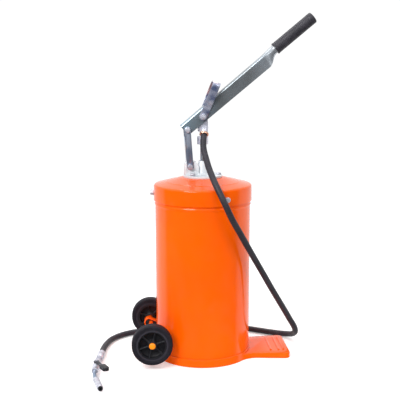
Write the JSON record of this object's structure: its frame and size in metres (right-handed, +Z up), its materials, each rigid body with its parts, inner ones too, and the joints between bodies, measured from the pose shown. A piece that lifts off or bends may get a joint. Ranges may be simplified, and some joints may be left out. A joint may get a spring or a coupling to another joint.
{
  "type": "wheeled drum pump",
  "caption": "Round steel drum on a pressed foot and an axle with two small wheels, with a hand-lever piston pump on its lid, a delivery hose and a ball-valve nozzle.",
  "frame": {"origin": "on the drum's axis at the floor, in the middle of the drum's flat bottom", "axes": "+Z up along the drum's axis, +X towards the end of the foot (the wheels are at -X), Y along the axle"},
  "size_m": [0.5867, 0.4519, 0.9017],
  "materials": {
    "orange_paint": "glossy enamel",
    "zinc_plate": "bright zinc plate",
    "bright_plate": "bright plated sheet steel",
    "bright_steel": "ground and polished",
    "cast_alloy": "light sand-cast, machined flange",
    "copper": "copper-coloured, satin",
    "brass": "turned",
    "seal_rubber": "smooth black",
    "grip_rubber": "satin dark grey",
    "hose_rubber": "matt dark grey",
    "tyre_rubber": "matt, ribbed tread",
    "wheel_plastic": "moulded, satin",
    "black_plastic": "satin"
  },
  "bodies": {
    "root": {"drum_shell": "orange_paint", "foot_plate": "orange_paint", "drum_lid": "orange_paint", "lid_gasket": "seal_rubber", "lid_clamp_screw_1": "zinc_plate", "lid_clamp_screw_2": "zinc_plate", "lid_clamp_screw_3": "zinc_plate", "pump_head": "cast_alloy", "rod_wiper": "seal_rubber", "flange_bolt_1": "zinc_plate", "flange_bolt_2": "zinc_plate", "flange_bolt_3": "zinc_plate", "pump_cylinder": "bright_steel", "foot_valve_seat": "brass", "foot_valve_ball": "bright_steel", "intake_strainer": "zinc_plate", "axle_bracket_front": "orange_paint", "axle_bracket_rear": "orange_paint", "axle_bush_front": "black_plastic", "axle_bush_rear": "black_plastic", "axle": "orange_paint", "hose": "hose_rubber", "hose_ferrule": "zinc_plate", "swivel_nut": "zinc_plate", "valve_body": "zinc_plate", "outlet_nut": "zinc_plate", "spout_tube": "zinc_plate", "spout_sleeve": "zinc_plate", "spout_tip": "black_plastic"},
    "rod": {"pump_rod": "bright_steel", "piston": "brass", "piston_seal": "seal_rubber", "rod_lock_nut": "zinc_plate", "rod_head": "zinc_plate", "outlet_gland": "copper"},
    "link_arm": {"link": "zinc_plate", "lug_bolt": "zinc_plate", "lug_nut": "zinc_plate"},
    "lever_arm": {"lever": "bright_plate", "lever_grip": "grip_rubber", "link_bolt": "zinc_plate", "link_nut": "zinc_plate", "rod_bolt": "zinc_plate", "rod_nut": "zinc_plate"},
    "bail_strap": {"bail": "bright_plate"},
    "front_wheel": {"wheel_front": "wheel_plastic", "tyre_front": "tyre_rubber", "axle_cap_front": "orange_paint"},
    "rear_wheel": {"wheel_rear": "wheel_plastic", "tyre_rear": "tyre_rubber", "axle_cap_rear": "orange_paint"},
    "valve_handle": {"valve_ball": "bright_steel", "valve_stem": "zinc_plate", "valve_lever": "zinc_plate", "valve_lever_sleeve": "black_plastic"}
  },
  "joints": [
    {"name": "rod_slide", "type": "slide", "parent": "root", "child": "rod", "axis": [0, 0, 1], "range_m": [-0.041, 0], "deforming": ["hose"]},
    {"name": "link_swing", "type": "hinge", "parent": "root", "child": "link_arm", "pos_m": [-0.034, 0, 0.5085], "axis": [0, 1, 0], "range_deg": [-9, 0]},
    {"name": "lever_swing", "type": "hinge", "parent": "link_arm", "child": "lever_arm", "pos_m": [-0.04107, 0, 0.60403], "axis": [0, 1, 0], "range_deg": [0, 53.5]},
    {"name": "bail_swing", "type": "hinge", "parent": "lever_arm", "child": "bail_strap", "pos_m": [0, 0, 0.638], "axis": [0, 1, 0], "range_deg": [-120, 8]},
    {"name": "front_wheel_spin", "type": "hinge", "parent": "root", "child": "front_wheel", "pos_m": [-0.139, -0.1206, 0.065], "axis": [0, 1, 0], "continuous": true},
    {"name": "rear_wheel_spin", "type": "hinge", "parent": "root", "child": "rear_wheel", "pos_m": [-0.139, 0.1206, 0.065], "axis": [0, 1, 0], "continuous": true},
    {"name": "valve_turn", "type": "hinge", "parent": "root", "child": "valve_handle", "pos_m": [-0.2817, -0.12402, 0.011], "axis": [0, 0, 1], "range_deg": [-32, 58]}
  ],
  "couplings": [
    {"joint": "link_swing", "follows": "lever_swing", "ratio": -0.16318},
    {"joint": "rod_slide", "follows": "lever_swing", "m_per_rad": -0.04267}
  ]
}
